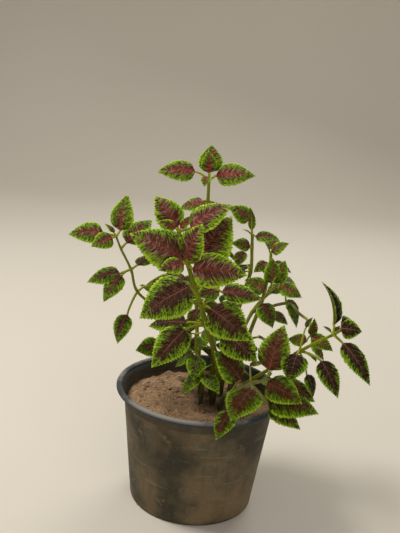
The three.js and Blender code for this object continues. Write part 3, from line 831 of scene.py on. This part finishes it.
# ---- materials ----
class Graph:
    """A material and short calls for the nodes that it is built from."""

    def __init__(self, name):
        self.material = bpy.data.materials.new(name)
        self.material.use_nodes = True
        self.nodes = self.material.node_tree.nodes
        self.links = self.material.node_tree.links
        self.shader = self.nodes["Principled BSDF"]

    def put(self, socket, value):
        if isinstance(value, bpy.types.NodeSocket):
            self.links.new(value, socket)
        else:
            socket.default_value = value

    def set(self, name, value):
        self.put(self.shader.inputs[name], value)

    def math(self, operation, *values):
        made = self.nodes.new("ShaderNodeMath")
        made.operation = operation
        for socket, value in zip(made.inputs, values):
            self.put(socket, value)
        return made.outputs[0]

    def total(self, *values):
        """Sum of values, each a number, a socket or a (socket, weight) pair."""
        whole = 0.0
        for value in values:
            if isinstance(value, tuple):
                whole = self.math("MULTIPLY_ADD", value[0], value[1], whole)
            else:
                whole = self.math("ADD", value, whole)
        return whole

    def product(self, first, *others):
        for other in others:
            first = self.math("MULTIPLY", first, other)
        return first

    def step(self, value, low, high, share=1.0):
        """0 where the value is at low, 1 where it is at high, smooth between; a share below 1
        weakens it."""
        made = self.nodes.new("ShaderNodeMapRange")
        made.interpolation_type = "SMOOTHSTEP"
        self.put(made.inputs["Value"], value)
        swapped = low > high
        made.inputs["From Min"].default_value = min(low, high)
        made.inputs["From Max"].default_value = max(low, high)
        made.inputs["To Min"].default_value = share if swapped else 0.0
        made.inputs["To Max"].default_value = 0.0 if swapped else share
        return made.outputs["Result"]

    def mix(self, share, a, b):
        made = self.nodes.new("ShaderNodeMix")
        made.data_type = "RGBA"
        self.put(made.inputs[0], share)
        self.put(made.inputs[6], a)
        self.put(made.inputs[7], b)
        return made.outputs[2]

    def attribute(self, name):
        made = self.nodes.new("ShaderNodeAttribute")
        made.attribute_name = name
        return self.split(made.outputs["Vector"])

    def split(self, vector):
        made = self.nodes.new("ShaderNodeSeparateXYZ")
        self.put(made.inputs[0], vector)
        return made.outputs

    def join(self, *values):
        made = self.nodes.new("ShaderNodeCombineXYZ")
        for socket, value in zip(made.inputs, values):
            self.put(socket, value)
        return made.outputs[0]

    def position(self):
        return self.nodes.new("ShaderNodeTexCoord").outputs["Object"]

    def noise(self, vector, scale, detail, roughness=0.55):
        made = self.nodes.new("ShaderNodeTexNoise")
        self.put(made.inputs["Vector"], vector)
        made.inputs["Scale"].default_value = scale
        made.inputs["Detail"].default_value = detail
        made.inputs["Roughness"].default_value = roughness
        return made.outputs[0]

    def stretched_noise(self, places, scales, detail):
        """Noise with a scale of its own along each of three values."""
        scaled = [self.product(place, scale) for place, scale in zip(places, scales)]
        return self.noise(self.join(*scaled), 1.0, detail)

    def cells(self, vector, scale, feature="F1"):
        made = self.nodes.new("ShaderNodeTexVoronoi")
        made.feature = feature
        self.put(made.inputs["Vector"], vector)
        made.inputs["Scale"].default_value = scale
        return made.outputs["Distance"]

    def bump(self, height, depth_mm, strength):
        made = self.nodes.new("ShaderNodeBump")
        made.inputs["Strength"].default_value = strength
        made.inputs["Distance"].default_value = depth_mm * MM
        self.put(made.inputs["Height"], height)
        self.links.new(made.outputs[0], self.shader.inputs["Normal"])


def paint(*screen):
    """A screen colour, 0 to 255, as the shader wants it."""
    linear = []
    for level in screen:
        part = level / 255
        linear.append(((part + 0.055) / 1.055) ** 2.4 if level > 10 else part / 12.92)
    return (*linear, 1.0)


def leaf_values(g):
    """What every vertex of a leaf carries."""
    at = SimpleNamespace()
    at.vein, at.v, at.from_midrib = g.attribute("place")
    at.length, at.pairs, at.is_top = g.attribute("size")
    at.green, at.lime, at.pink = g.attribute("colours")
    at.chance, at.red = g.attribute("tint")[:2]
    at.out = g.math("ABSOLUTE", at.v)
    at.young = g.step(at.pink, 0.16, 0.55)
    return at


def add_streaks(g, at):
    """Streaks that run with the side veins: a broad kind, specks that part the margin and fine
    lines. Flecks lie all over."""
    side = g.math("MULTIPLY", g.math("SIGN", at.v), 7.0)
    seed = g.total((at.chance, 60.0), side)
    places = (g.product(at.vein, at.length, VEIN_SLANT), at.from_midrib, seed)
    at.broad = g.step(g.stretched_noise(places, (0.4, 0.07, 1.0), 2.0), 0.32, 0.68)
    at.specks = g.step(g.stretched_noise(places, (0.85, 0.38, 1.0), 2.0), 0.36, 0.64)
    at.fine = g.stretched_noise(places, (1.35, 0.18, 1.0), 2.0)
    at.fleck = g.noise(g.position(), 1000.0, 2.0)


def add_veins(g, at):
    """Side veins with the furrows that they lie in, and the midrib."""
    turn = g.math("SUBTRACT", g.math("FRACT", g.math("MULTIPLY_ADD", at.vein, at.pairs, 0.5)), 0.5)
    share = g.math("DIVIDE", g.math("ABSOLUTE", turn), at.pairs)
    off_vein = g.product(share, at.length, VEIN_SLANT)
    at.side_vein = g.product(g.step(off_vein, 0.45, 0.1), g.step(at.out, 0.95, 0.25))
    at.furrow = g.step(off_vein, 1.5, 0.0)
    slim = g.total(at.from_midrib, (at.vein, 0.3))
    at.midrib = g.product(g.step(slim, 0.6, 0.25), g.step(at.vein, 0.95, 0.4))


def add_middle(g, at):
    """The dark middle, inside a green margin whose fingers reach in between the side veins."""
    from_side = g.math("SUBTRACT", 1.0, at.out)
    from_tip = g.product(g.math("SUBTRACT", 1.0, at.vein), 2.0)
    at.rim = g.math("MINIMUM", from_side, from_tip)
    reach = g.total((at.green, 0.95), (at.broad, 0.2), (at.specks, 0.4), (at.furrow, -0.08), -0.27)
    inside = g.total(g.math("SUBTRACT", at.rim, reach), (at.fleck, 0.3), -0.15)
    at.middle = g.product(g.step(inside, -0.03, 0.05), g.step(at.rim, 0.04, 0.1))


def margin_colour(g, at):
    """Green, brightest along the edge, with light and dark lines and dark gaps."""
    deep = g.mix(at.lime, paint(70, 102, 8), paint(116, 152, 14))
    bright = g.mix(at.lime, paint(116, 154, 22), paint(182, 212, 52))
    colour = g.mix(g.step(g.total(at.rim, (at.fleck, 0.2)), 0.3, 0.16), deep, bright)
    colour = g.mix(g.step(at.fine, 0.5, 0.66, 0.6), colour, bright)
    colour = g.mix(g.step(at.fine, 0.46, 0.34, 0.6), colour, paint(36, 52, 0))
    gaps = g.product(g.step(at.specks, 0.55, 0.1), g.step(at.rim, 0.05, 0.13), 0.75)
    colour = g.mix(gaps, colour, paint(44, 48, 10))
    return g.mix(g.step(at.rim, 0.2, 0.6, 0.5), colour, paint(48, 60, 6))


def middle_colour(g, at):
    """Nearly black to red-brown, paler and pinker on young leaves and along the midrib, with fine
    lines of painted sheen; the darker lower leaves are partly painted shade.
    """
    colour = g.mix(at.red, paint(19, 11, 5), paint(86, 42, 4))
    # Young leaves are paler; the darker middles of the lower, older leaves are partly painted
    # shade.
    colour = g.mix(g.product(at.young, 0.38), colour, paint(124, 80, 56))
    # Painted sheen: fine pale lines stand for light on the puckered, quilted surface.
    pale = g.mix(at.young, paint(88, 74, 52), paint(172, 128, 112))
    lines = g.product(g.step(at.fine, 0.5, 0.64), g.math("MULTIPLY_ADD", at.young, 0.45, 0.25))
    colour = g.mix(lines, colour, pale)
    colour = g.mix(g.step(at.fine, 0.46, 0.34, 0.6), colour, paint(16, 8, 5))
    glow = g.product(at.pink, g.step(at.from_midrib, 3.5, 0.0), g.step(at.vein, 0.8, 0.1), 0.5)
    return g.mix(glow, colour, paint(168, 66, 58))


def with_ribs(g, at, colour):
    """The colour with the midrib and faint side veins over it."""
    rib = g.mix(g.step(at.pink, 0.15, 0.6), paint(140, 122, 96), paint(184, 62, 64))
    faint = g.product(at.side_vein, g.step(at.out, 0.85, 0.05), 0.3)
    colour = g.mix(faint, colour, rib)
    clear = g.product(at.midrib, g.math("MULTIPLY_ADD", at.pink, 0.5, 0.45))
    return g.mix(clear, colour, rib)


def leaf_material():
    g = Graph("coleus_leaf")
    at = leaf_values(g)
    add_streaks(g, at)
    add_veins(g, at)
    add_middle(g, at)
    upper = with_ribs(g, at, g.mix(at.middle, margin_colour(g, at), middle_colour(g, at)))
    under = g.mix(0.6, upper, paint(106, 122, 50))
    g.set("Base Color", g.mix(at.is_top, under, upper))
    puckers = g.cells(g.position(), 480.0, "SMOOTH_F1")
    veins = g.total((at.side_vein, -0.8), (at.midrib, -0.6))
    g.bump(g.total((puckers, -1.5), veins, (at.fine, 0.8), (at.fleck, 0.4)), 0.9, 1.0)
    g.set("Roughness", g.math("MULTIPLY_ADD", at.fleck, 0.3, 0.34))
    g.set("Specular IOR Level", 0.1)
    g.set("Sheen Weight", 0.02)
    g.set("Sheen Roughness", 0.4)
    return g.material


def stem_colour(g, at):
    """Green that is brighter to the tip, with streaks, pale ribs and brown spots."""
    colour = g.mix(g.step(at.youth, 0.05, 0.7), paint(80, 76, 14), paint(122, 132, 4))
    colour = g.mix(g.step(at.streak, 0.5, 0.68, 0.8), colour, paint(70, 70, 2))
    wave = g.math("COSINE", g.product(at.around, 8 * math.pi))
    ribs = g.math("MULTIPLY_ADD", wave, 0.5, 0.5)
    colour = g.mix(g.product(ribs, 0.3), colour, paint(152, 160, 14))
    return g.mix(g.step(at.spots, 0.58, 0.7, 0.4), colour, paint(96, 66, 42))


def stalk_colour(g, at):
    colour = g.mix(at.youth, paint(124, 126, 20), paint(158, 166, 20))
    return g.mix(g.step(at.streak, 0.5, 0.8, 0.5), colour, paint(150, 96, 60))


def stem_material():
    g = Graph("coleus_stem")
    at = SimpleNamespace()
    at.youth, is_stalk, at.around = g.attribute("kind")
    woody, hair = g.attribute("wood")[:2]
    position = g.position()
    places = g.split(position)
    at.streak = g.stretched_noise(places, (900.0, 900.0, 70.0), 3.0)
    at.spots = g.noise(position, 420.0, 2.0)
    colour = g.mix(is_stalk, stem_colour(g, at), stalk_colour(g, at))
    bark = g.mix(g.step(at.streak, 0.4, 0.6), paint(104, 88, 76), paint(166, 152, 140))
    colour = g.mix(g.product(woody, g.step(at.streak, 0.3, 0.7)), colour, bark)
    # Painted shade: stems and stalks darken close to the soil, under the leaves.
    painted_shade_near_soil = g.step(g.total(places[2], (at.spots, 0.01)), 0.128, 0.106, 0.75)
    colour = g.mix(painted_shade_near_soil, colour, paint(42, 34, 24))
    g.set("Base Color", g.mix(hair, colour, paint(196, 200, 150)))
    g.bump(g.total((at.streak, 1.0), (g.noise(position, 1800.0, 1.0), 0.5)), 0.25, 0.5)
    g.set("Roughness", 0.5)
    g.set("Specular IOR Level", 0.2)
    return g.material


def pot_patterns(g):
    """Stains, runs, rings and grit of the old plastic, and its height."""
    at = SimpleNamespace()
    position = g.position()
    x, y, at.z = g.split(position)
    at.broad = g.noise(position, 17.0, 3.0, 0.6)
    at.blotch = g.noise(position, 70.0, 4.0, 0.65)
    at.moss = g.noise(position, 80.0, 3.0)
    at.grit = g.noise(position, 1100.0, 2.0)
    at.runs = g.noise(g.join(x, y, g.product(at.z, 0.14)), 120.0, 3.0)
    at.rings = g.noise(g.join(g.product(x, 0.1), g.product(y, 0.1), at.z), 260.0, 2.0)
    return at


def pot_body_colour(g, at):
    """Dark stained plastic, paler to the foot, with moss, scratches, painted shade under the rim.
    """
    colour = g.mix(g.step(at.broad, 0.4, 0.6), paint(54, 50, 38), paint(104, 90, 66))
    colour = g.mix(g.step(at.blotch, 0.45, 0.66, 0.5), colour, paint(58, 60, 50))
    colour = g.mix(g.step(at.blotch, 0.42, 0.28, 0.6), colour, paint(128, 110, 80))
    colour = g.mix(g.step(at.runs, 0.48, 0.7, 0.4), colour, paint(70, 58, 38))
    low = g.product(g.step(at.z, 0.06, 0.0), g.step(at.broad, 0.35, 0.6), 0.45)
    colour = g.mix(low, colour, paint(128, 106, 74))
    moss = g.product(g.step(at.moss, 0.64, 0.72), g.step(at.z, 0.04, 0.008), 0.85)
    colour = g.mix(moss, colour, paint(66, 92, 26))
    scratch = g.product(g.step(at.rings, 0.6, 0.72), g.step(at.blotch, 0.4, 0.6), 0.35)
    colour = g.mix(scratch, colour, paint(140, 126, 100))
    # Painted shade: darker under the overhanging rim bead.
    painted_shade_under_rim = g.product(g.step(at.z, 0.0975, 0.1), g.step(at.z, 0.1085, 0.107), 0.55)
    return g.mix(painted_shade_under_rim, colour, paint(52, 46, 38))


def pot_rim_colour(g, at):
    """Bluish dark plastic whose top is dusty and carries a painted highlight."""
    patches = g.step(g.total(at.broad, (at.grit, 0.3)), 0.58, 0.76)
    # The pale top of the rim is partly real dust and partly a painted highlight.
    dust_and_highlight = g.product(patches, g.step(at.z, 0.1095, 0.1125), 0.65)
    return g.mix(dust_and_highlight, paint(50, 56, 58), paint(152, 146, 138))


def pot_material():
    g = Graph("old_pot_plastic")
    at = pot_patterns(g)
    is_rim = g.step(at.z, 0.1066, 0.1082)
    colour = g.mix(is_rim, pot_body_colour(g, at), pot_rim_colour(g, at))
    colour = g.mix(g.step(at.grit, 0.58, 0.75, 0.25), colour, paint(150, 138, 116))
    foot = g.step(g.total(at.z, (at.blotch, 0.004)), 0.0055, 0.0025, 0.6)
    g.set("Base Color", g.mix(foot, colour, paint(40, 36, 30)))
    g.bump(g.total((at.blotch, 0.6), (at.grit, 0.5), (at.runs, 0.4), (at.rings, 0.3)), 0.45, 0.5)
    g.set("Roughness", g.math("MULTIPLY_ADD", at.blotch, 0.35, 0.42))
    g.set("Specular IOR Level", 0.22)
    return g.material


def soil_material():
    g = Graph("dry_potting_soil")
    position = g.position()
    x, y = g.split(position)[:2]
    patch = g.noise(position, 38.0, 4.0, 0.6)
    grain = g.noise(position, 520.0, 4.0, 0.7)
    colour = g.mix(g.step(patch, 0.35, 0.65), paint(112, 86, 62), paint(152, 122, 92))
    colour = g.mix(g.step(grain, 0.45, 0.7), colour, paint(176, 148, 116))
    colour = g.mix(g.step(grain, 0.42, 0.25), colour, paint(66, 48, 36))
    moss = g.step(g.noise(position, 60.0, 3.0), 0.6, 0.72, 0.45)
    colour = g.mix(moss, colour, paint(104, 112, 62))
    # Painted shade: the soil is darker round the stems, where the plant shades it.
    off_x = g.math("ADD", x, -CROWN_PLACE[0])
    off_y = g.math("ADD", y, -CROWN_PLACE[1])
    from_crown = g.math("SQRT", g.total(g.product(off_x, off_x), g.product(off_y, off_y)))
    painted_shade_round_stems = g.step(g.total(from_crown, (patch, 0.01)), 0.034, 0.016, 0.6)
    g.set("Base Color", g.mix(painted_shade_round_stems, colour, paint(62, 48, 38)))
    g.bump(g.total((grain, 1.0), (g.cells(position, 420.0), 0.6)), 0.9, 0.9)
    g.set("Roughness", 0.92)
    g.set("Specular IOR Level", 0.15)
    return g.material


def floor_material():
    g = Graph("pale_floor")
    patches = g.noise(g.position(), 1.5, 2.0)
    g.set("Base Color", g.mix(patches, paint(198, 191, 178), paint(207, 200, 188)))
    g.set("Roughness", 0.85)
    return g.material


# ---- stage, lights and camera ----
def make_floor(material):
    """Floor that bends up into a backdrop, in metres."""
    half_breadth, front, bend, radius, top = 4.0, -3.0, 1.4, 0.7, 2.6
    steps = 12
    line = [(front, 0.0), (bend, 0.0)]
    for k in range(1, steps + 1):
        angle = math.pi / 2 * k / steps
        line.append((bend + radius * math.sin(angle), radius - radius * math.cos(angle)))
    line.append((bend + radius, top))
    vertices = [(x, y, z) for y, z in line for x in (-half_breadth, half_breadth)]
    faces = [(2 * i, 2 * i + 1, 2 * i + 3, 2 * i + 2) for i in range(len(line) - 1)]
    mesh = bpy.data.meshes.new("floor")
    mesh.from_pydata(vertices, [], faces)
    mesh.shade_smooth()
    mesh.materials.append(material)
    floor = bpy.data.objects.new("floor", mesh)
    bpy.context.collection.objects.link(floor)


def add_light(name, place, size, power, colour):
    data = bpy.data.lights.new(name, "AREA")
    data.size = size
    data.energy = power
    data.color = colour
    light = bpy.data.objects.new(name, data)
    light.location = place
    aim = Vector(LIGHT_TARGET) - Vector(place)
    light.rotation_euler = aim.to_track_quat("-Z", "Y").to_euler()
    bpy.context.collection.objects.link(light)


def light_scene():
    """Key light from the upper left, a large soft fill from the front, a light from behind."""
    add_light("key", place=(-0.8, 0.1, 1.35), size=0.45, power=17, colour=(1.0, 0.97, 0.92))
    add_light("fill", place=(0.6, -1.4, 0.8), size=1.2, power=6, colour=(1.0, 0.98, 0.93))
    add_light("back", place=(0.45, 1.1, 1.1), size=0.7, power=8, colour=(1.0, 0.98, 0.94))
    world = bpy.data.worlds.new("studio")
    world.use_nodes = True
    sky = world.node_tree.nodes["Background"]
    sky.inputs["Color"].default_value = (0.92, 0.88, 0.82, 1)
    sky.inputs["Strength"].default_value = 0.4
    bpy.context.scene.world = world
    bpy.context.scene.view_settings.view_transform = "Standard"


def make_camera():
    """Looks along +Y and down at the pot, rolled a little, as the picture was taken."""
    pitch, roll = math.radians(CAMERA_PITCH), math.radians(CAMERA_ROLL)
    forward = Vector((0, math.cos(pitch), -math.sin(pitch)))
    level = forward.cross(Vector((0, 0, 1))).normalized()
    upright = level.cross(forward)
    right = math.cos(roll) * level + math.sin(roll) * upright
    up = -math.sin(roll) * level + math.cos(roll) * upright
    data = bpy.data.cameras.new("camera")
    data.lens = LENS
    data.sensor_width = SENSOR_WIDTH
    camera = bpy.data.objects.new("camera", data)
    turn = Matrix((right, up, -forward)).transposed().to_4x4()
    camera.matrix_world = Matrix.Translation(CAMERA_PLACE) @ turn
    bpy.context.collection.objects.link(camera)
    bpy.context.scene.camera = camera


make_camera()
light_scene()
make_floor(floor_material())
make_pot(pot_material())
make_soil(soil_material())
LEAF_SKIN, STEM_SKIN = leaf_material(), stem_material()
for each_shoot in SHOOTS:
    make_shoot(each_shoot, LEAF_SKIN, STEM_SKIN)
